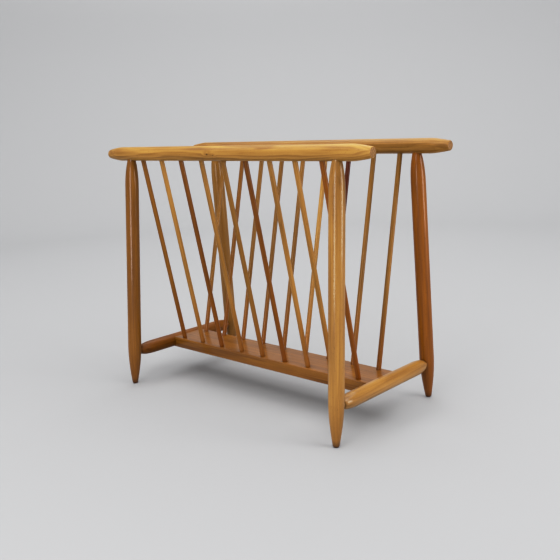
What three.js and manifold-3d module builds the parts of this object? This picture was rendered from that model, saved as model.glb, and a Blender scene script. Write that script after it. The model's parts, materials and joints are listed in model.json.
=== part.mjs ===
// A newspaper rack of turned wood: two leaning rows of slim spindles stand on a narrow bottom board and
// run up into two long handle rails. Four splayed legs carry the rails, and a stretcher at each end joins
// a front leg to a back leg and holds the board.
//
// Millimetres. +X runs along the rails, +Y from the front row to the back row, +Z up. The origin is on the
// floor, under the middle of the rack.
import * as THREE from "three";
import { mergeVertices } from "three/addons/utils/BufferGeometryUtils.js";
import Module from "manifold-3d";

const wasm = await Module();
wasm.setup();

// Driving dimensions.
const STOCK_R = 12; // rails, legs and stretchers are all turned from 24 mm round stock
const DOWEL_R = 4; // spindles and hidden dowels are 8 mm round
const LEG_TENON_R = 7.4; // round tenon of a leg in its rail
const STRETCHER_TENON_R = 6.5; // round tenon of a stretcher in its leg
const GAP = 0.3; // room between a piece and the socket or face that takes it

const RAIL_HALF = 288.5; // half the length of a rail
const RAIL_Y = 101.5; // rail axis from the middle plane
const RAIL_Z = 420; // rail axis above the floor
const RAIL_TAPER = 32; // length of a rail's tapered end
const RAIL_TAPER_POWER = 1.4;
const RAIL_TIP_R = 7.9; // radius where the taper ends
const RAIL_ROUND = 1.6; // rounding of the end face's edge

const LEG_TOP_X = 229; // leg axis where it meets the rail axis
const LEG_FOOT_X = 235.75; // leg axis on the floor
const LEG_FOOT_Y = 127.75;
const LEG_NECK = 54; // length of the taper under the rail
const LEG_NECK_POWER = 2.7;
const FOOT_TAPER = 66; // length of the taper above the floor
const FOOT_TAPER_POWER = 1.75;
const FOOT_R = 5.3; // radius of the foot before its edge is rounded
const FOOT_ROUND = 4.2;
const FOOT_SPARE = 0.25; // stock below the floor, trimmed off flat

const STRETCHER_Z = 60.5; // stretcher axis above the floor
const STRETCHER_NOSE = 30; // length of a stretcher's rounded nose
const NOSE_CLEAR = 0.9; // from the tip of the nose to the leg's nearest face

const BOARD_TOP = 69;
const BOARD_THICK = 19;
const BOARD_HALF_Y = 35.75;
const BOARD_EASE = 1.3; // rounding of the board's long edges

const SPINDLES = 9; // in each row
const SPINDLE_PITCH_TOP = 50;
const SPINDLE_PITCH_BOTTOM = 51;
const SPINDLE_BOTTOM_Y = 27.4; // spindle axis at the board's top face
const SPINDLE_IN_BOARD = 12; // depth of a spindle's end in the board
const DOWEL_CHAMFER = 0.8;

const BEYOND_AXIS = 3; // how far a tenon or spindle end goes past the axis of the piece that takes it
const PIN_Y = 14; // hidden dowels between board and stretcher, from the middle plane
const PIN_IN_BOARD = 16;

const CUTTER_REACH = 2 * STOCK_R; // how far outside a face or axis a socket's cutter starts
const TRIM_BLOCK = 40; // side of the block that trims a foot flat at the floor
const SAME_POINT = 1e-4; // vertices nearer than this are one

const STOCK_SIDES = 24; // flats round a turned piece
const DOWEL_SIDES = 12;
const TAPER_STEPS = 7; // rings along a taper
const ROUND_STEPS = 2; // rings round a small rounding
const FOOT_STEPS = 3; // rings round the edge of a foot

const UP = new THREE.Vector3(0, 1, 0); // the axis that a lathe turns about

const LACQUER_ROUGHNESS = 0.42;

// Colours of the lacquered wood, from straw to dark red-brown.
const STRAW = 0x9b753a;
const HONEY = 0x916b32;
const AMBER = 0x7d5924;
const HAZEL = 0x764d15;
const CHESTNUT = 0x7c4a0c;
const RUSSET = 0x6c400a;
const WALNUT = 0x4f1f03;
const FRONT_TONES = [HAZEL, HONEY, RUSSET, HONEY, AMBER, RUSSET, HONEY, HONEY, CHESTNUT];
const BACK_TONES = [AMBER, HAZEL, AMBER, AMBER, AMBER, STRAW, WALNUT, AMBER, AMBER];

// ---- Solids ----

// A closed geometry as a manifold-3d solid.
function solidOf(geometry) {
  const bare = geometry.clone();
  bare.deleteAttribute("normal");
  bare.deleteAttribute("uv");
  const merged = mergeVertices(bare, SAME_POINT);
  return new wasm.Manifold(
    new wasm.Mesh({
      numProp: 3,
      vertProperties: new Float32Array(merged.attributes.position.array),
      triVerts: new Uint32Array(merged.index.array),
    }),
  );
}

// A manifold-3d solid as a geometry with flat normals.
function geometryOf(solid) {
  const { vertProperties, triVerts } = solid.getMesh();
  const indexed = new THREE.BufferGeometry();
  indexed.setAttribute("position", new THREE.BufferAttribute(vertProperties, 3));
  indexed.setIndex(new THREE.BufferAttribute(triVerts, 1));
  const geometry = indexed.toNonIndexed();
  geometry.computeVertexNormals();
  return geometry;
}

// Cuts each tool out of a mesh. Both have their places, and the cut is made in the mesh's own frame.
function cut(mesh, tools) {
  mesh.updateMatrix();
  const toMesh = mesh.matrix.clone().invert();
  let solid = solidOf(mesh.geometry);
  for (const tool of tools) {
    tool.updateMatrix();
    const inMesh = tool.geometry.clone().applyMatrix4(toMesh.clone().multiply(tool.matrix));
    solid = solid.subtract(solidOf(inMesh));
  }
  mesh.geometry = geometryOf(solid);
  return mesh;
}

// A mesh of lacquered wood.
function wooden(name, geometry, color) {
  const material = new THREE.MeshStandardMaterial({ color, roughness: LACQUER_ROUGHNESS, metalness: 0 });
  const mesh = new THREE.Mesh(geometry, material);
  mesh.name = name;
  return mesh;
}

// ---- Turning ----

// A point of a lathe profile: its radius, and its place along the axis.
const at = (radius, along) => new THREE.Vector2(radius, along);

// Turns a profile about the axis and closes both ends.
function turned(profile, sides) {
  const first = at(0, profile[0].y);
  const last = at(0, profile[profile.length - 1].y);
  return new THREE.LatheGeometry([first, ...profile, last], sides);
}

// A quarter of an ellipse, from its tip radius at the start up to the full radius.
function quarterOval(start, length, tip, full, steps) {
  const points = [];
  for (let i = 0; i <= steps; i++) {
    const angle = (Math.PI / 2) * (i / steps);
    points.push(at(tip + (full - tip) * Math.sin(angle), start + length * (1 - Math.cos(angle))));
  }
  return points;
}

// A taper from the tip radius up to the full radius, which it meets more smoothly as the power grows.
function powerTaper(start, length, tip, full, power, steps) {
  const points = [];
  for (let i = 0; i <= steps; i++) {
    const t = i / steps;
    points.push(at(full - (full - tip) * (1 - t) ** power, start + length * t));
  }
  return points;
}

// The other end of a piece that is the same at both ends: the profile turned round and moved to its length.
const mirrored = (profile, length) => profile.map((p) => at(p.x, length - p.y)).reverse();

// Stands a turned mesh on `from` with its axis running to `to`.
function stand(mesh, from, to) {
  mesh.position.copy(from);
  mesh.quaternion.setFromUnitVectors(UP, to.clone().sub(from).normalize());
  return mesh;
}

// A point on the line from a to b, a distance beyond b, or short of it when the distance is negative.
const beyond = (a, b, distance) => b.clone().addScaledVector(b.clone().sub(a).normalize(), distance);

// A round rod between two points, with chamfered ends.
function rod(name, from, to, radius, color) {
  const length = from.distanceTo(to);
  const end = [at(radius - DOWEL_CHAMFER, 0), at(radius, DOWEL_CHAMFER)];
  const geometry = turned([...end, ...mirrored(end, length)], DOWEL_SIDES);
  return stand(wooden(name, geometry, color), from, to);
}

// The cutter for a blind round socket that takes a piece of this radius, with room all round it.
// It ends GAP past `bottom`.
function socket(mouth, bottom, radius, sides) {
  const end = beyond(mouth, bottom, GAP);
  const length = mouth.distanceTo(end);
  const geometry = turned([at(radius + GAP, 0), at(radius + GAP, length)], sides);
  return stand(new THREE.Mesh(geometry), mouth, end);
}

// ---- Places ----

// side is -1 for the front or left, and 1 for the back or right.
const railAxis = (x, side) => new THREE.Vector3(x, side * RAIL_Y, RAIL_Z);
const legTop = (sideX, sideY) => railAxis(sideX * LEG_TOP_X, sideY);
const legFoot = (sideX, sideY) => new THREE.Vector3(sideX * LEG_FOOT_X, sideY * LEG_FOOT_Y, 0);

// The point of a leg's axis that is level with the stretchers.
const legJoint = (sideX, sideY) =>
  legFoot(sideX, sideY).lerp(legTop(sideX, sideY), STRETCHER_Z / RAIL_Z);

// Both ends of a spindle's axis: on the board's top face, and on the rail's axis.
function spindleAxis(number, side) {
  const place = number - (SPINDLES + 1) / 2;
  const bottom = new THREE.Vector3(place * SPINDLE_PITCH_BOTTOM, side * SPINDLE_BOTTOM_Y, BOARD_TOP);
  return { bottom, top: railAxis(place * SPINDLE_PITCH_TOP, side) };
}

const numbers = Array.from({ length: SPINDLES }, (_, i) => i + 1);

// Where a hidden dowel's ends are: one in the stretcher, the other in the board.
function pinEnds(sideX, sideY) {
  const axisX = legJoint(sideX, sideY).x;
  const z = BOARD_TOP - BOARD_THICK / 2;
  const inBoard = axisX - sideX * (STOCK_R + PIN_IN_BOARD);
  return {
    outer: new THREE.Vector3(axisX + sideX * BEYOND_AXIS, sideY * PIN_Y, z),
    inner: new THREE.Vector3(inBoard, sideY * PIN_Y, z),
  };
}

// ---- Pieces ----

function spindle(name, number, side, color) {
  const { bottom, top } = spindleAxis(number, side);
  const low = beyond(top, bottom, SPINDLE_IN_BOARD);
  const high = beyond(bottom, top, BEYOND_AXIS);
  return rod(name, low, high, DOWEL_R, color);
}

// A handle rail, tapered at both ends, with blind sockets below for nine spindles and two legs.
function rail(name, side, color) {
  const edge = quarterOval(0, RAIL_ROUND, RAIL_TIP_R - RAIL_ROUND, RAIL_TIP_R, ROUND_STEPS);
  const taper = powerTaper(RAIL_ROUND, RAIL_TAPER, RAIL_TIP_R, STOCK_R, RAIL_TAPER_POWER, TAPER_STEPS);
  const end = [...edge, ...taper.slice(1)];
  const geometry = turned([...end, ...mirrored(end, 2 * RAIL_HALF)], STOCK_SIDES);
  const mesh = stand(wooden(name, geometry, color), railAxis(-RAIL_HALF, side), railAxis(RAIL_HALF, side));
  const spindleSockets = numbers.map((number) => {
    const { bottom, top } = spindleAxis(number, side);
    const mouth = beyond(bottom, top, -CUTTER_REACH);
    return socket(mouth, beyond(bottom, top, BEYOND_AXIS), DOWEL_R, DOWEL_SIDES);
  });
  const legSockets = [-1, 1].map((sideX) => {
    const foot = legFoot(sideX, side);
    const top = legTop(sideX, side);
    const mouth = beyond(foot, top, -CUTTER_REACH);
    return socket(mouth, beyond(foot, top, BEYOND_AXIS), LEG_TENON_R, STOCK_SIDES);
  });
  return cut(mesh, [...spindleSockets, ...legSockets]);
}

// A leg, from its rounded foot up to its tenon in the rail, with a socket for the stretcher.
function leg(name, sideX, sideY, color) {
  const foot = legFoot(sideX, sideY);
  const top = legTop(sideX, sideY);
  const shoulder = foot.distanceTo(top) - STOCK_R - GAP;
  const tenonEnd = foot.distanceTo(top) + BEYOND_AXIS;
  const edge = quarterOval(-FOOT_SPARE, FOOT_ROUND, FOOT_R - FOOT_ROUND, FOOT_R, FOOT_STEPS);
  const taperStart = FOOT_ROUND - FOOT_SPARE;
  const taper = powerTaper(taperStart, FOOT_TAPER, FOOT_R, STOCK_R, FOOT_TAPER_POWER, TAPER_STEPS);
  const neck = powerTaper(0, LEG_NECK, LEG_TENON_R, STOCK_R, LEG_NECK_POWER, TAPER_STEPS);
  const tenon = at(LEG_TENON_R, tenonEnd);
  const profile = [...edge, ...taper.slice(1), ...mirrored(neck, shoulder), tenon];
  const geometry = turned(profile, STOCK_SIDES);
  const mesh = stand(wooden(name, geometry, color), foot, top);

  const joint = legJoint(sideX, sideY);
  const mouth = joint.clone().setY(joint.y - sideY * CUTTER_REACH);
  const bottom = beyond(mouth, joint, BEYOND_AXIS);
  const stretcherSocket = socket(mouth, bottom, STRETCHER_TENON_R, STOCK_SIDES);
  const belowFloor = new THREE.Mesh(new THREE.BoxGeometry(TRIM_BLOCK, TRIM_BLOCK, TRIM_BLOCK));
  belowFloor.position.copy(foot).setZ(-TRIM_BLOCK / 2);
  return cut(mesh, [stretcherSocket, belowFloor]);
}

// A stretcher from a front leg to a back leg, with a rounded nose and a tenon at each end and sockets for
// the two dowels of the board.
function stretcher(name, sideX, color) {
  const front = legJoint(sideX, -1);
  const back = legJoint(sideX, 1);
  const from = beyond(back, front, BEYOND_AXIS);
  const to = beyond(front, back, BEYOND_AXIS);
  const noseTip = BEYOND_AXIS + STOCK_R + NOSE_CLEAR;
  const nose = quarterOval(noseTip, STRETCHER_NOSE, STRETCHER_TENON_R, STOCK_R, TAPER_STEPS);
  const end = [at(STRETCHER_TENON_R, 0), ...nose];
  const geometry = turned([...end, ...mirrored(end, from.distanceTo(to))], STOCK_SIDES);
  const mesh = stand(wooden(name, geometry, color), from, to);
  const pinSockets = [-1, 1].map((sideY) => {
    const { outer, inner } = pinEnds(sideX, sideY);
    return socket(inner, outer, DOWEL_R, DOWEL_SIDES);
  });
  return cut(mesh, pinSockets);
}

// The bottom board: its long edges are eased and its ends hollowed to fit the round stretchers.
function bottomBoard(name, color) {
  const halfY = BOARD_HALF_Y - BOARD_EASE;
  const halfZ = BOARD_THICK / 2 - BOARD_EASE;
  const section = new THREE.Shape();
  section.absarc(halfY, halfZ, BOARD_EASE, 0, Math.PI / 2);
  section.absarc(-halfY, halfZ, BOARD_EASE, Math.PI / 2, Math.PI);
  section.absarc(-halfY, -halfZ, BOARD_EASE, Math.PI, 1.5 * Math.PI);
  section.absarc(halfY, -halfZ, BOARD_EASE, 1.5 * Math.PI, 2 * Math.PI);
  const axisX = legJoint(1, 1).x;
  const geometry = new THREE.ExtrudeGeometry(section, {
    depth: 2 * axisX,
    bevelEnabled: false,
    curveSegments: ROUND_STEPS,
  });
  geometry.translate(0, 0, -axisX);
  geometry.rotateY(Math.PI / 2).rotateX(Math.PI / 2); // the section's X goes to Y, and its depth to X
  const board = wooden(name, geometry, color);
  board.position.z = BOARD_TOP - BOARD_THICK / 2;

  const hollows = [-1, 1].map((sideX) => {
    const centre = legJoint(sideX, -1);
    const from = centre.clone().setY(-2 * BOARD_HALF_Y);
    const to = centre.clone().setY(2 * BOARD_HALF_Y);
    return socket(from, to, STOCK_R, STOCK_SIDES);
  });
  const spindleSockets = [-1, 1].flatMap((side) =>
    numbers.map((number) => {
      const { bottom, top } = spindleAxis(number, side);
      const mouth = beyond(top, bottom, -CUTTER_REACH);
      return socket(mouth, beyond(top, bottom, SPINDLE_IN_BOARD), DOWEL_R, DOWEL_SIDES);
    }),
  );
  const pinSockets = [-1, 1].flatMap((sideX) =>
    [-1, 1].map((sideY) => {
      const { outer, inner } = pinEnds(sideX, sideY);
      return socket(outer, inner, DOWEL_R, DOWEL_SIDES);
    }),
  );
  return cut(board, [...hollows, ...spindleSockets, ...pinSockets]);
}

// ---- The rack ----

// One long side: a rail with its row of spindles.
function spindleRow(label, side, railColor, tones) {
  const row = new THREE.Group();
  row.add(rail("rail_" + label, side, railColor));
  for (const number of numbers) {
    row.add(spindle("spindle_" + label + "_" + number, number, side, tones[number - 1]));
  }
  return row;
}

// One end: a front leg, a back leg, their stretcher, and the dowels that hold the board.
function endFrame(label, sideX, colors) {
  const frame = new THREE.Group();
  frame.add(leg("leg_front_" + label, sideX, -1, colors.front));
  frame.add(leg("leg_back_" + label, sideX, 1, colors.back));
  frame.add(stretcher("stretcher_" + label, sideX, colors.stretcher));
  for (const [place, sideY] of [["front", -1], ["back", 1]]) {
    const { outer, inner } = pinEnds(sideX, sideY);
    frame.add(rod("dowel_" + label + "_" + place, outer, inner, DOWEL_R, HONEY));
  }
  return frame;
}

const rack = new THREE.Group();
rack.add(bottomBoard("bottom_board", HAZEL));
rack.add(spindleRow("front", -1, STRAW, FRONT_TONES));
rack.add(spindleRow("back", 1, HONEY, BACK_TONES));
rack.add(endFrame("left", -1, { front: HAZEL, back: AMBER, stretcher: RUSSET }));
rack.add(endFrame("right", 1, { front: HONEY, back: CHESTNUT, stretcher: HONEY }));

export default rack;
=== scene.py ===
"""The looks of a newspaper rack of turned wood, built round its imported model.

Metres, in the model's frame: +X along the rails, +Y from the front row to the back row, +Z up, floor at 0.
Every piece is made along its own local Z, which is also the way its wood grain runs.
"""

import json
import math
import random

import bmesh
import bpy
import numpy as np
from mathutils import Euler, Matrix, Vector, noise


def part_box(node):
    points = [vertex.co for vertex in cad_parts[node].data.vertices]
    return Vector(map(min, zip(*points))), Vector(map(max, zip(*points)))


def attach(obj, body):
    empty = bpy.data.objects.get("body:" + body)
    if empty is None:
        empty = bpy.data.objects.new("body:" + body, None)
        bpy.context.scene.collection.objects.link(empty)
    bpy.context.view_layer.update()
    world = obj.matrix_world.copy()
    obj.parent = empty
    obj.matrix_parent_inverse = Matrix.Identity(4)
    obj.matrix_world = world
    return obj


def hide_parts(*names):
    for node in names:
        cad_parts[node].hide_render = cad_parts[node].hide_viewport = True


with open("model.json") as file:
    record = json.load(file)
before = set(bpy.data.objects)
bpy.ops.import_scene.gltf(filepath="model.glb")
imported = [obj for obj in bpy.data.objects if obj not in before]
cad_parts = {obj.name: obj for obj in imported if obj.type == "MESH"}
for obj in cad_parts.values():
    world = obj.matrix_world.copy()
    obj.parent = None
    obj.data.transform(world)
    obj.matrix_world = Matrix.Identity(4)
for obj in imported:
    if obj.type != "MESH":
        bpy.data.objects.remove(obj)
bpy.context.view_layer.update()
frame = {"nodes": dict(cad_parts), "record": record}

MM = 0.001

# Shapes of the turned ends, which the model's boxes don't tell.
STRETCHER_TENON_R = 6.5 * MM
LEG_TENON_R = 7.4 * MM
RAIL_TIP_R = 7.9 * MM
RAIL_TAPER = 32 * MM
RAIL_TAPER_POWER = 1.4
RAIL_ROUND = 1.6 * MM
FOOT_R = 5.3 * MM
FOOT_ROUND = 4.2 * MM
FOOT_SPARE = 0.25 * MM  # trimmed off flat at the floor
FOOT_TAPER = 66 * MM
FOOT_TAPER_POWER = 1.75
LEG_NECK = 54 * MM
LEG_NECK_POWER = 2.7
STRETCHER_NOSE = 30 * MM
NOSE_CLEAR = 0.9 * MM  # from the tip of a stretcher's nose to the leg's nearest face
BEYOND_AXIS = 3 * MM  # how far a tenon goes past the axis of the piece that takes it
BOARD_EASE = 1.3 * MM
SPINDLE_EASE = 0.7 * MM

SOCKET_ROOM = 0.12 * MM  # between a piece and the socket that takes it
SOCKET_SPARE = 0.3 * MM  # room at the bottom of a socket
RING_STEP = 5 * MM  # between two rings of vertices on a straight stretch
STOCK_SIDES = 72
SPINDLE_SIDES = 36
TURNING_WAVE = 0.07 * MM  # how far hand turning dips below the true round
WEAR_REACH = 3.5 * MM  # how far rubbing reaches from an edge

SPINDLES = 9


# ---- What the model says ----


def node_points(name):
    """The distinct vertices of a CAD node."""
    vertices = frame["nodes"][name].data.vertices
    flat = np.empty(3 * len(vertices))
    vertices.foreach_get("co", flat)
    return np.unique(np.round(flat.reshape(-1, 3), 6), axis=0)


def axis_ends(name, end_face=0.2 * MM):
    """Both ends of a turned node's axis. The end that is lower, further left or further forward is the first."""
    points = node_points(name)
    direction = np.linalg.svd(points - points.mean(0), full_matrices=False)[2][0]
    if direction[np.argmax(abs(direction))] < 0:
        direction = -direction
    along = points @ direction
    ends = []
    for limit in (along.min(), along.max()):
        face = points[abs(along - limit) < end_face].mean(0)
        ends.append(Vector(face + direction * (limit - face @ direction)))
    return ends


def half_height(name):
    """The radius of a node turned about X or Y."""
    low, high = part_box(name)
    return (high.z - low.z) / 2


def foot_point(label):
    """Where the axis of a leg meets the floor."""
    mount = next(m for m in frame["record"]["mounts"] if m["name"] == "foot_" + label)
    return Vector(mount["pos_m"])


STOCK_R = half_height("rail_front")
DOWEL_R = half_height("dowel_left_front")


# ---- Turning ----


def quarter_oval(start, length, tip, full, steps=10):
    """Points (radius, height) of a quarter of an ellipse, from the tip radius up to the full radius."""
    angles = [math.pi / 2 * i / steps for i in range(steps + 1)]
    return [(tip + (full - tip) * math.sin(a), start + length * (1 - math.cos(a))) for a in angles]


def power_taper(start, length, tip, full, power, steps=14):
    """Points of a taper up to the full radius, which it meets more smoothly as the power grows."""
    shares = [i / steps for i in range(steps + 1)]
    return [(full - (full - tip) * (1 - t) ** power, start + length * t) for t in shares]


def straight(profile, end):
    """A profile with rings added at an even step from its last point up to the height of the end."""
    radius, start = profile[-1]
    count = max(1, round((end - start) / RING_STEP))
    return profile + [(radius, start + (end - start) * i / count) for i in range(1, count)]


def mirrored(profile, length):
    return [(radius, length - height) for radius, height in reversed(profile)]


def edge_wear(profile, least_turn=math.radians(25)):
    """How rubbed each point of a profile is: 1 on its corners, down to 0 at the reach of wear."""
    outline = [(0, profile[0][1]), *profile, (0, profile[-1][1])]
    corners = []
    for before, here, after in zip(outline, outline[1:], outline[2:]):
        way_in = Vector(here) - Vector(before)
        way_out = Vector(after) - Vector(here)
        if way_in.length > 0 and way_out.length > 0 and way_in.angle(way_out) > least_turn:
            corners.append(Vector(here))
    nearest = [min(((Vector(p) - c).length for c in corners), default=1) for p in profile]
    return [max(0, 1 - distance / WEAR_REACH) for distance in nearest]


def turned(name, profile, sides, start, end, seed, wave=TURNING_WAVE):
    """A piece turned about the axis from start to end, from points (radius, height), lowest first."""
    mesh = bmesh.new()
    wear_layer = mesh.verts.layers.float.new("wear")
    rings = []
    for (radius, height), worn in zip(profile, edge_wear(profile)):
        ring = []
        for i in range(sides):
            angle = 2 * math.pi * i / sides
            dip = noise.noise(Vector((math.cos(angle) * 0.4, math.sin(angle) * 0.4 + seed, height * 22)))
            r = radius - wave * (0.5 + 0.5 * dip)
            vertex = mesh.verts.new((r * math.cos(angle), r * math.sin(angle), height))
            vertex[wear_layer] = worn
            ring.append(vertex)
        rings.append(ring)
    for lower, upper in zip(rings, rings[1:]):
        for i in range(sides):
            j = (i + 1) % sides
            mesh.faces.new((lower[i], lower[j], upper[j], upper[i]))
    mesh.faces.new(rings[0][::-1])
    mesh.faces.new(rings[-1])
    return placed(name, mesh, start, (end - start).to_track_quat("Z", "Y").to_matrix())


def placed(name, mesh, place, turn):
    """A Blender object from a bmesh, at a place and with a turn."""
    data = bpy.data.meshes.new(name)
    mesh.to_mesh(data)
    mesh.free()
    obj = bpy.data.objects.new(name, data)
    bpy.context.scene.collection.objects.link(obj)
    obj.matrix_world = Matrix.Translation(place) @ turn.to_4x4()
    return obj


# ---- Cutting ----


def socket_mesh(mesh, mouth, bottom, radius, sides=32):
    """Adds a closed cylinder from the mouth of a socket to its bottom, with room all round."""
    axis = (bottom - mouth).normalized()
    turn = axis.to_track_quat("Z", "Y")
    rings = []
    for middle in (mouth, bottom + axis * SOCKET_SPARE):
        ring = []
        for i in range(sides):
            angle = 2 * math.pi * i / sides
            spoke = Vector((math.cos(angle), math.sin(angle), 0)) * (radius + SOCKET_ROOM)
            ring.append(mesh.verts.new(middle + turn @ spoke))
        rings.append(ring)
    for i in range(sides):
        j = (i + 1) % sides
        mesh.faces.new((rings[0][i], rings[0][j], rings[1][j], rings[1][i]))
    mesh.faces.new(rings[0][::-1])
    mesh.faces.new(rings[1])


def cut_sockets(piece, sockets, sides=32):
    """Cuts blind sockets (mouth, bottom, radius) out of a piece. The mouths lie outside the piece."""
    tool_mesh = bmesh.new()
    for mouth, bottom, radius in sockets:
        socket_mesh(tool_mesh, mouth, bottom, radius, sides)
    tool = placed("tool", tool_mesh, Vector(), Matrix.Identity(3))
    cutting = piece.modifiers.new("sockets", "BOOLEAN")
    cutting.operation = "DIFFERENCE"
    cutting.solver = "EXACT"
    cutting.object = tool
    bpy.context.view_layer.update()
    evaluated = piece.evaluated_get(bpy.context.evaluated_depsgraph_get())
    cut = bpy.data.meshes.new_from_object(evaluated)
    piece.modifiers.clear()
    old = piece.data
    piece.data = cut
    bpy.data.meshes.remove(old)
    tool_data = tool.data
    bpy.data.objects.remove(tool)
    bpy.data.meshes.remove(tool_data)


def shade(piece, crease=math.radians(32)):
    """Smooth shading, with crisp edges where faces meet at more than the crease."""
    piece.data.shade_smooth()
    piece.data.set_sharp_from_angle(angle=crease)


def settle(piece):
    """Moves a piece's place and turn into its mesh. Each vertex keeps its local place, in millimetres, as "grain"."""
    count = len(piece.data.vertices)
    local = np.empty(3 * count, np.float32)
    piece.data.vertices.foreach_get("co", local)
    grain = piece.data.attributes.new("grain", "FLOAT_VECTOR", "POINT")
    grain.data.foreach_set("vector", local / MM)
    grain_way = piece.matrix_world.to_3x3() @ Vector((0, 0, 1))
    piece.data.transform(piece.matrix_world)
    piece.matrix_world = Matrix.Identity(4)
    return grain_way


# ---- Wood ----


def linear(code):
    """A colour code such as C99450 as a linear RGBA colour."""
    shares = [int(code[i : i + 2], 16) / 255 for i in (0, 2, 4)]
    return tuple(s / 12.92 if s <= 0.04045 else ((s + 0.055) / 1.055) ** 2.4 for s in shares) + (1,)


# Pale and deep colour of each tone of wood, and the record's slot that it belongs to.
TONES = {
    "straw": ("AB8242", "7E5A28", "wood_straw"),
    "honey": ("A07739", "765222", "wood_honey"),
    "amber": ("8A632A", "654317", "wood_amber"),
    "hazel": ("825619", "603A0C", "wood_amber"),
    "chestnut": ("89530F", "653806", "wood_chestnut"),
    "russet": ("77480D", "573005", "wood_russet"),
    "walnut": ("582404", "3F1602", "wood_russet"),
}


def node(tree, kind, inputs=(), **settings):
    """Adds a shader node. Each input, by its number or name, gets a value or is linked to an output."""
    made = tree.nodes.new("ShaderNode" + kind)
    for setting, value in settings.items():
        setattr(made, setting, value)
    pairs = inputs.items() if isinstance(inputs, dict) else enumerate(inputs)
    for key, value in pairs:
        if isinstance(value, bpy.types.NodeSocket):
            tree.links.new(value, made.inputs[key])
        else:
            made.inputs[key].default_value = value
    return made


def calc(tree, operation, *values, clamp=False):
    return node(tree, "Math", values, operation=operation, use_clamp=clamp).outputs[0]


def smooth_step(tree, value, low, high, least=0.0, most=1.0):
    inputs = {"Value": value, "From Min": low, "From Max": high, "To Min": least, "To Max": most}
    return node(tree, "MapRange", inputs, interpolation_type="SMOOTHSTEP").outputs["Result"]


def mix(tree, share, first, second, mode="MIX"):
    """A mix of two colours. The three sockets of a colour mix are 0, 6 and 7, and its result is 2."""
    inputs = {0: share, 6: first, 7: second}
    return node(tree, "Mix", inputs, data_type="RGBA", blend_type=mode).outputs[2]


def stretched_noise(tree, place, across, along, detail=2.0, roughness=0.5, distortion=0.0):
    """Noise drawn out along the grain, from its number of features in a millimetre across and along."""
    scaled = node(tree, "VectorMath", [place, (across, across, along)], operation="MULTIPLY").outputs[0]
    inputs = {"Vector": scaled, "Scale": 1.0, "Detail": detail, "Roughness": roughness}
    inputs["Distortion"] = distortion
    return node(tree, "TexNoise", inputs, noise_dimensions="3D").outputs["Fac"]


def growth_rings(tree, in_piece, place, chance, ring_width, near_knot):
    """Darkness of the late wood of growth rings round a pith off the piece's own axis. They bend round knots."""
    tilt = [math.radians(chance.uniform(-1.2, 1.2)) for _ in range(2)]
    spin = chance.uniform(0, 2 * math.pi)
    pith = (chance.uniform(18, 60), chance.uniform(-20, 20), 0)
    inputs = {"Vector": in_piece, "Location": pith, "Rotation": (*tilt, spin)}
    turned_place = node(tree, "Mapping", inputs, vector_type="POINT").outputs[0]
    sway_x = calc(tree, "SUBTRACT", stretched_noise(tree, place, 0.03, 0.006), 0.5)
    sway_y = calc(tree, "SUBTRACT", stretched_noise(tree, place, 0.035, 0.007, 1.0), 0.5)
    sway = node(tree, "CombineXYZ", [sway_x, sway_y, 0.0]).outputs[0]
    sway = node(tree, "VectorMath", {0: sway, "Scale": 14.0}, operation="SCALE").outputs[0]
    swayed = node(tree, "VectorMath", [turned_place, sway], operation="ADD").outputs[0]
    flat = node(tree, "VectorMath", [swayed, (1, 1, 0)], operation="MULTIPLY").outputs[0]
    distance = node(tree, "VectorMath", [flat], operation="LENGTH").outputs["Value"]
    phase = calc(tree, "DIVIDE", distance, ring_width)
    uneven = stretched_noise(tree, place, 0.16, 0.004, 1.0)
    phase = calc(tree, "ADD", phase, calc(tree, "MULTIPLY", uneven, 1.6))
    phase = calc(tree, "ADD", phase, calc(tree, "MULTIPLY", near_knot, 1.1))
    share = calc(tree, "FRACT", phase)
    rise = smooth_step(tree, share, 0.15, 0.8)
    fall = smooth_step(tree, share, 0.8, 1.0)
    return calc(tree, "SUBTRACT", rise, fall)


def knotted(tree, in_piece, knots):
    """How near each point is to the knots (x, y, z, size), and how far inside their dark middles."""
    near = 0.0
    core = 0.0
    for *middle, size in knots:
        away = node(tree, "VectorMath", [in_piece, middle], operation="SUBTRACT").outputs[0]
        away = node(tree, "VectorMath", [away, (1, 1, 0.55)], operation="MULTIPLY").outputs[0]
        away = node(tree, "VectorMath", [away], operation="LENGTH").outputs["Value"]
        near = calc(tree, "ADD", near, smooth_step(tree, away, 5.0 * size, 0.0))
        core = calc(tree, "ADD", core, smooth_step(tree, away, size, 0.3 * size))
    return near, core


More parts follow.
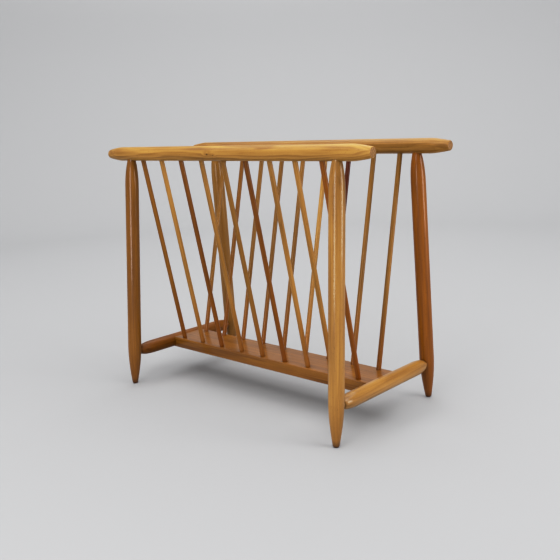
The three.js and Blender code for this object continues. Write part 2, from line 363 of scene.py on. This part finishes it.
def wood(name, tone, grain_way, seed, ring_width=5.5, figure=0.24, gloss=0.42, coat=0.3, knots=(), stains=()):
    """Lacquered wood with its grain along the piece. The "grain" of a mesh gives its own place in millimetres."""
    chance = random.Random(seed)
    pale, deep, _ = TONES[tone]
    material = bpy.data.materials.new(name)
    material.use_nodes = True
    tree = material.node_tree
    surface = next(n for n in tree.nodes if n.type == "BSDF_PRINCIPLED")

    in_piece = node(tree, "Attribute", attribute_name="grain").outputs["Vector"]
    shift = [chance.uniform(-900, 900) for _ in range(3)]
    place = node(tree, "VectorMath", [in_piece, shift], operation="ADD").outputs[0]
    near_knot, knot_core = knotted(tree, in_piece, knots)
    rings = growth_rings(tree, in_piece, place, chance, ring_width, near_knot)

    drift = stretched_noise(tree, place, 0.045, 0.007, 2.0)
    streaks = stretched_noise(tree, place, 0.3, 0.006, 3.0, 0.55)
    fibres = stretched_noise(tree, place, 2.4, 0.05, 3.0, 0.65)
    flecks = smooth_step(tree, stretched_noise(tree, place, 1.7, 0.16, 2.0, 0.6), 0.60, 0.72)

    # Growth rings, streaks and fibres choose between the pale and the deep colour of the tone.
    share = calc(tree, "MULTIPLY", rings, figure)
    share = calc(tree, "ADD", share, calc(tree, "MULTIPLY", calc(tree, "SUBTRACT", streaks, 0.5), 1.25))
    share = calc(tree, "ADD", share, calc(tree, "MULTIPLY", calc(tree, "SUBTRACT", drift, 0.5), 1.5))
    share = calc(tree, "ADD", share, calc(tree, "MULTIPLY", calc(tree, "SUBTRACT", fibres, 0.5), 0.5))
    share = calc(tree, "ADD", share, 0.28, clamp=True)
    colour = mix(tree, share, linear(pale), linear(deep))
    colour = mix(tree, calc(tree, "MULTIPLY", flecks, 0.28), colour, linear("4A2A12"))
    colour = mix(tree, calc(tree, "MULTIPLY", knot_core, 0.85), colour, linear("3A1C0A"))

    # Small dents, filled with old polish.
    dents = smooth_step(tree, stretched_noise(tree, place, 0.55, 0.24, 3.0, 0.6), 0.62, 0.74)
    colour = mix(tree, calc(tree, "MULTIPLY", dents, 0.4), colour, linear("3E1E0A"))

    # End grain is darker and greyer.
    facing = node(tree, "NewGeometry").outputs["Normal"]
    along_grain = node(tree, "VectorMath", [facing, grain_way], operation="DOT_PRODUCT").outputs["Value"]
    end_grain = smooth_step(tree, calc(tree, "ABSOLUTE", along_grain), 0.80, 0.97)
    pores = stretched_noise(tree, place, 1.3, 1.3, 3.0, 0.7)
    end_colour = mix(tree, smooth_step(tree, pores, 0.35, 0.7), linear("A07C54"), linear("5E4229"))
    end_colour = mix(tree, calc(tree, "MULTIPLY", rings, 0.5), end_colour, linear("4A3020"))
    colour = mix(tree, calc(tree, "MULTIPLY", end_grain, 0.8), colour, end_colour)

    # Rubbed edges are pale and dry, and painted shade darkens the corners of the joints.
    worn = node(tree, "Attribute", attribute_name="wear").outputs["Fac"]
    worn = calc(tree, "MULTIPLY", worn, smooth_step(tree, pores, 0.42, 0.62))
    colour = mix(tree, calc(tree, "MULTIPLY", worn, 0.4), colour, linear("7A5434"))
    # Painted shade: an occlusion mask darkens the wood where nearby parts close it in.
    open_share = node(tree, "AmbientOcclusion", {"Distance": 5 * MM}, samples=6).outputs["AO"]
    joint_shade_share = smooth_step(tree, open_share, 0.8, 0.15, 0.0, 0.6)
    colour = mix(tree, joint_shade_share, colour, linear("3A1606"))
    height = node(tree, "SeparateXYZ", [in_piece]).outputs["Z"]
    # Painted shade: darker towards the lower end of the piece, near the board or the floor.
    for reach, unevenness, strength, low_shade_colour in stains:
        sway = calc(tree, "MULTIPLY", calc(tree, "SUBTRACT", streaks, 0.5), unevenness)
        low_shade_share = smooth_step(tree, calc(tree, "ADD", height, sway), reach, 0.0, 0.0, strength)
        colour = mix(tree, low_shade_share, colour, linear(low_shade_colour))
    tree.links.new(colour, surface.inputs["Base Color"])

    # The lacquer is uneven: duller on the edges and over the fibres.
    cloud = stretched_noise(tree, place, 0.06, 0.03, 3.0, 0.6)
    dull = calc(tree, "ADD", gloss - 0.08, calc(tree, "MULTIPLY", cloud, 0.14))
    dull = calc(tree, "ADD", dull, calc(tree, "MULTIPLY", fibres, 0.05))
    dull = calc(tree, "ADD", dull, calc(tree, "MULTIPLY", worn, 0.2))
    tree.links.new(calc(tree, "ADD", dull, calc(tree, "MULTIPLY", end_grain, 0.15)), surface.inputs["Roughness"])
    surface.inputs["Specular IOR Level"].default_value = 0.12
    surface.inputs["Coat Weight"].default_value = coat
    surface.inputs["Coat Roughness"].default_value = 0.12

    relief = calc(tree, "ADD", calc(tree, "MULTIPLY", fibres, 0.5), calc(tree, "MULTIPLY", flecks, -0.5))
    relief = calc(tree, "ADD", relief, calc(tree, "MULTIPLY", rings, -0.2))
    relief = calc(tree, "ADD", relief, calc(tree, "MULTIPLY", dents, -1.2))
    relief = calc(tree, "ADD", relief, calc(tree, "MULTIPLY", cloud, 1.5))
    bump = node(tree, "Bump", {"Height": relief, "Strength": 0.5, "Distance": 0.05 * MM})
    tree.links.new(bump.outputs[0], surface.inputs["Normal"])
    return material


def finished(piece, cad_node, tone, seed, **look):
    """Gives a piece its wood, hides the CAD node it stands for and hangs the piece on the root body."""
    shade(piece)
    grain_way = settle(piece)
    piece.data.materials.clear()
    piece.data.materials.append(wood("wood_" + piece.name, tone, grain_way, seed, **look))
    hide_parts(cad_node)
    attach(piece, "root")
    return piece


# ---- Pieces ----

FRONT_TONES = ["hazel", "honey", "russet", "honey", "amber", "russet", "honey", "honey", "chestnut"]
BACK_TONES = ["amber", "hazel", "amber", "amber", "amber", "straw", "walnut", "amber", "amber"]

# Middle (x, y, z) and size of each small knot in the front rail, in its own millimetres.
FRONT_RAIL_KNOTS = [(-12, -1, 268, 1.7), (-12, -3, 281, 1.1), (-11.5, 3.5, 20, 1.0)]

# Painted shade at the lower end of a piece, near the board or the floor: reach and unevenness in millimetres,
# strength and colour.
SPINDLE_LOW_SHADES = [(150, 90, 0.6, "7C440C"), (21, 6, 0.6, "4A1C06")]
LEG_LOW_SHADES = [(75, 90, 0.45, "6A3C10"), (13, 10, 0.7, "34180A")]


def make_spindle(row, number, tone, seed):
    cad_node = f"spindle_{row}_{number}"
    low, high = axis_ends(cad_node)
    length = (high - low).length
    end = quarter_oval(0, SPINDLE_EASE, DOWEL_R - SPINDLE_EASE, DOWEL_R, 3)
    profile = straight(end, length - SPINDLE_EASE) + mirrored(end, length)
    piece = turned(f"{row}_spindle_{number}", profile, SPINDLE_SIDES, low, high, seed, 0.04 * MM)
    return finished(piece, cad_node, tone, seed, ring_width=2.6, gloss=0.38, stains=SPINDLE_LOW_SHADES)


def rail_sockets(row):
    """The sockets in the underside of a rail, from the pieces that stand in them."""
    sockets = []
    for number in range(1, SPINDLES + 1):
        low, high = axis_ends(f"spindle_{row}_{number}")
        sockets.append((high + (low - high).normalized() * 2 * STOCK_R, high, DOWEL_R))
    for side in ("left", "right"):
        foot, top = leg_axis(row, side)
        sockets.append((top + (foot - top).normalized() * 2.4 * STOCK_R, top, LEG_TENON_R))
    return sockets


def make_rail(row, tone, seed, **look):
    cad_node = "rail_" + row
    low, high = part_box(cad_node)
    middle = (low + high) / 2
    left, right = Vector((low.x, middle.y, middle.z)), Vector((high.x, middle.y, middle.z))
    length = (right - left).length
    edge = quarter_oval(0, RAIL_ROUND, RAIL_TIP_R - RAIL_ROUND, RAIL_TIP_R, 5)
    end = edge + power_taper(RAIL_ROUND, RAIL_TAPER, RAIL_TIP_R, STOCK_R, RAIL_TAPER_POWER)[1:]
    profile = straight(end, length - end[-1][1]) + mirrored(end, length)
    piece = turned(row + "_rail", profile, STOCK_SIDES, left, right, seed)
    cut_sockets(piece, rail_sockets(row))
    return finished(piece, cad_node, tone, seed, **look)


def leg_axis(row, side):
    """The axis of a leg, from the floor to the end of its tenon."""
    return foot_point(f"{row}_{side}"), axis_ends(f"leg_{row}_{side}")[1]


def make_leg(row, side, tone, seed, **look):
    foot, top = leg_axis(row, side)
    length = (top - foot).length
    shoulder = length - BEYOND_AXIS - STOCK_R - SOCKET_ROOM
    edge = quarter_oval(-FOOT_SPARE, FOOT_ROUND, FOOT_R - FOOT_ROUND, FOOT_R, 8)
    taper = power_taper(FOOT_ROUND - FOOT_SPARE, FOOT_TAPER, FOOT_R, STOCK_R, FOOT_TAPER_POWER, 18)
    neck = mirrored(power_taper(0, LEG_NECK, LEG_TENON_R, STOCK_R, LEG_NECK_POWER, 20), shoulder)
    profile = straight(edge + taper[1:], neck[0][1]) + neck + [(LEG_TENON_R, length)]
    piece = turned(f"{row}_{side}_leg", profile, STOCK_SIDES, foot, top, seed)
    trim_foot(piece)

    ends = dict(zip(("front", "back"), axis_ends("stretcher_" + side)))
    end = ends[row]
    inward = Vector((0, -end.y, 0)).normalized()
    cut_sockets(piece, [(end + inward * 2.4 * STOCK_R, end, STRETCHER_TENON_R)])
    return finished(piece, f"leg_{row}_{side}", tone, seed, stains=LEG_LOW_SHADES, **look)


def trim_foot(piece):
    """Presses a leg's foot flat on the floor."""
    to_local = piece.matrix_world.inverted()
    for vertex in piece.data.vertices:
        point = piece.matrix_world @ vertex.co
        if point.z < 0:
            vertex.co = to_local @ Vector((point.x, point.y, 0))


def make_stretcher(side, tone, seed, **look):
    cad_node = "stretcher_" + side
    front, back = axis_ends(cad_node)
    length = (back - front).length
    nose_tip = BEYOND_AXIS + STOCK_R + NOSE_CLEAR
    end = [(STRETCHER_TENON_R, 0), (STRETCHER_TENON_R, nose_tip - 2 * MM)]
    end += quarter_oval(nose_tip, STRETCHER_NOSE, STRETCHER_TENON_R, STOCK_R, 20)
    profile = straight(end, length - end[-1][1]) + mirrored(end, length)
    piece = turned(side + "_stretcher", profile, STOCK_SIDES, front, back, seed)
    sockets = []
    for row in ("front", "back"):
        ends = axis_ends(f"dowel_{side}_{row}")
        ends.sort(key=lambda end: abs(end.x))
        sockets.append((ends[0], ends[1], DOWEL_R))
    cut_sockets(piece, sockets)
    return finished(piece, cad_node, tone, seed, **look)


def make_dowel(side, row, seed):
    cad_node = f"dowel_{side}_{row}"
    left, right = axis_ends(cad_node)
    length = (right - left).length
    end = quarter_oval(0, SPINDLE_EASE, DOWEL_R - SPINDLE_EASE, DOWEL_R, 3)
    profile = straight(end, length - SPINDLE_EASE) + mirrored(end, length)
    piece = turned(f"{side}_{row}_dowel", profile, SPINDLE_SIDES, left, right, seed, 0.0)
    return finished(piece, cad_node, "honey", seed)


def board_outline(half_width, half_thick, steps=6):
    """The section of the board as points (x, y, wear), with rounded corners."""
    points = []
    for corner in range(4):
        sign_x = 1 if corner in (0, 3) else -1
        sign_y = 1 if corner in (0, 1) else -1
        centre = (sign_x * (half_width - BOARD_EASE), sign_y * (half_thick - BOARD_EASE))
        for i in range(steps + 1):
            angle = math.pi / 2 * (corner + i / steps)
            x = centre[0] + BOARD_EASE * math.cos(angle)
            y = centre[1] + BOARD_EASE * math.sin(angle)
            points.append((x, y, 1.0))
        if corner in (0, 2):  # rows of vertices across the wide faces, the first and last where wear ends
            width = half_width - BOARD_EASE - WEAR_REACH
            for i in range(9):
                points.append((sign_x * width * (1 - i / 4), sign_y * half_thick, 0.0))
        else:
            points.append((sign_x * half_width, sign_y * (half_thick - BOARD_EASE - WEAR_REACH), 0.0))
            points.append((sign_x * half_width, -sign_y * (half_thick - BOARD_EASE - WEAR_REACH), 0.0))
    return points


def make_board(tone, seed, **look):
    low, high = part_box("bottom_board")
    middle = (low + high) / 2
    half = (high - low) / 2
    outline = board_outline(half.y, half.z)
    stretcher_x = axis_ends("stretcher_right")[0].x
    mesh = bmesh.new()
    wear_layer = mesh.verts.layers.float.new("wear")
    count = 60
    rings = []
    for i in range(count + 1):
        along = stretcher_x * (2 * i / count - 1)
        ring = [mesh.verts.new((x, y, along)) for x, y, _ in outline]
        for vertex, (_, _, worn) in zip(ring, outline):
            vertex[wear_layer] = worn
        rings.append(ring)
    for lower, upper in zip(rings, rings[1:]):
        for i in range(len(outline)):
            j = (i + 1) % len(outline)
            mesh.faces.new((lower[i], lower[j], upper[j], upper[i]))
    mesh.faces.new(rings[0][::-1])
    mesh.faces.new(rings[-1])
    turn = Matrix(((0, 0, 1), (1, 0, 0), (0, 1, 0)))  # local X, Y, Z go to world Y, Z, X
    board = placed("board", mesh, middle, turn)

    hollows = []
    for side in ("left", "right"):
        front, back = axis_ends("stretcher_" + side)
        hollows.append((front, back, STOCK_R))
    cut_sockets(board, hollows, STOCK_SIDES)
    sockets = []
    for row in ("front", "back"):
        for number in range(1, SPINDLES + 1):
            bottom, top = axis_ends(f"spindle_{row}_{number}")
            sockets.append((bottom + (top - bottom).normalized() * 3 * STOCK_R, bottom, DOWEL_R))
        for side in ("left", "right"):
            ends = axis_ends(f"dowel_{side}_{row}")
            ends.sort(key=lambda end: -abs(end.x))
            sockets.append((ends[0], ends[1], DOWEL_R))
    cut_sockets(board, sockets)
    return finished(board, "bottom_board", tone, seed, **look)


def make_rack():
    make_board("hazel", 3, ring_width=7.0, figure=0.4, gloss=0.36, coat=0.5)
    make_rail("front", "straw", 11, ring_width=3.6, figure=0.5, coat=0.15, knots=FRONT_RAIL_KNOTS)
    make_rail("back", "honey", 12, ring_width=4.0, figure=0.4, coat=0.2)
    make_leg("front", "left", "hazel", 21, coat=0.55)
    make_leg("back", "left", "amber", 22, coat=0.4)
    make_leg("front", "right", "honey", 23, coat=0.55)
    make_leg("back", "right", "chestnut", 24, coat=0.4)
    make_stretcher("left", "russet", 31, coat=0.15)
    make_stretcher("right", "honey", 32, coat=0.6)
    for seed, (side, row) in enumerate((s, r) for s in ("left", "right") for r in ("front", "back")):
        make_dowel(side, row, 41 + seed)
    for row, tones, first_seed in (("front", FRONT_TONES, 100), ("back", BACK_TONES, 200)):
        for number, tone in enumerate(tones, 1):
            make_spindle(row, number, tone, first_seed + number)


# ---- Studio ----


def make_floor(flat_radius=2.2, curve_radius=1.1, height=2.0, sides=128):
    """A round pale floor that curves up into a wall all round."""
    profile = [(0.6, 0.0), (1.4, 0.0), (flat_radius, 0.0)]
    for i in range(1, 17):
        angle = math.pi / 2 * i / 16
        profile.append((flat_radius + curve_radius * math.sin(angle), curve_radius * (1 - math.cos(angle))))
    profile.append((flat_radius + curve_radius, height))
    mesh = bmesh.new()
    middle = mesh.verts.new((0, 0, 0))
    rings = []
    for radius, z in profile:
        angles = [2 * math.pi * i / sides for i in range(sides)]
        rings.append([mesh.verts.new((radius * math.cos(a), radius * math.sin(a), z)) for a in angles])
    for i in range(sides):
        mesh.faces.new((middle, rings[0][i], rings[0][(i + 1) % sides]))
    for lower, upper in zip(rings, rings[1:]):
        for i in range(sides):
            j = (i + 1) % sides
            mesh.faces.new((lower[i], upper[i], upper[j], lower[j]))
    floor = placed("floor", mesh, Vector(), Matrix.Identity(3))
    floor.data.shade_smooth()
    material = bpy.data.materials.new("pale_floor")
    material.use_nodes = True
    surface = next(n for n in material.node_tree.nodes if n.type == "BSDF_PRINCIPLED")
    surface.inputs["Base Color"].default_value = (0.317, 0.317, 0.321, 1)
    surface.inputs["Roughness"].default_value = 0.9
    surface.inputs["Specular IOR Level"].default_value = 0.05
    floor.data.materials.append(material)


def make_light(name, place, target, size, power, colour=(1, 1, 1)):
    """A soft rectangular light (width, height) that faces its target and isn't seen itself."""
    data = bpy.data.lights.new(name, "AREA")
    data.shape = "RECTANGLE"
    data.size, data.size_y = size
    data.energy = power
    data.color = colour
    light = bpy.data.objects.new(name, data)
    bpy.context.scene.collection.objects.link(light)
    light.location = place
    light.rotation_euler = (Vector(place) - Vector(target)).to_track_quat("Z", "Y").to_euler()
    light.visible_camera = False


def make_lights():
    make_light("overhead_light", (-0.2, 0.05, 2.7), (0, 0, 0.2), (5.4, 4.4), 160)
    make_light("ceiling_light", (0.5, -1.9, 2.3), (0, 0, 0.2), (3.0, 1.6), 34)
    make_light("side_light", (2.0, 0.3, 2.1), (0, 0, 0.1), (1.4, 1.4), 27)
    make_light("front_light", (0.4, -1.75, 0.5), (0, 0, 0.5), (0.6, 0.98), 14)
    make_light("right_light", (2.1, 0.68, 0.5), (0, 0, 0.5), (0.8, 0.98), 18)
    make_light("backdrop_light", (-1.3, 1.3, 2.8), (-2.2, 2.6, 1.1), (2.0, 1.0), 46)
    world = bpy.data.worlds.new("studio")
    world.use_nodes = True
    world.node_tree.nodes["Background"].inputs["Color"].default_value = (0.9, 0.95, 1, 1)
    world.node_tree.nodes["Background"].inputs["Strength"].default_value = 0.21
    bpy.context.scene.world = world


def make_camera():
    data = bpy.data.cameras.new("camera")
    data.sensor_width = 36
    data.lens = 48.08
    data.clip_start = 0.05
    camera = bpy.data.objects.new("camera", data)
    bpy.context.scene.collection.objects.link(camera)
    camera.location = (0.86349, -0.92396, 0.45836)
    pan, tilt, roll = (math.radians(a) for a in (42.322, -11.626, -2.21))
    turn = Matrix.Rotation(pan, 3, "Z") @ Matrix.Rotation(math.pi / 2 + tilt, 3, "X") @ Matrix.Rotation(roll, 3, "Z")
    camera.rotation_euler = turn.to_euler()
    bpy.context.scene.camera = camera


def set_film():
    """A plain view of the colours, with the deeper shadows and softer highlights of a camera."""
    view = bpy.context.scene.view_settings
    view.view_transform = "Standard"
    view.use_curve_mapping = True
    curve = view.curve_mapping.curves[3]
    for bright, shown in ((0.05, 0.03), (0.12, 0.082), (0.25, 0.205), (0.45, 0.44), (0.7, 0.68)):
        curve.points.new(bright, shown)
    curve.points[-1].location = (1, 0.86)
    view.curve_mapping.update()


make_camera()
make_floor()
make_lights()
set_film()
make_rack()
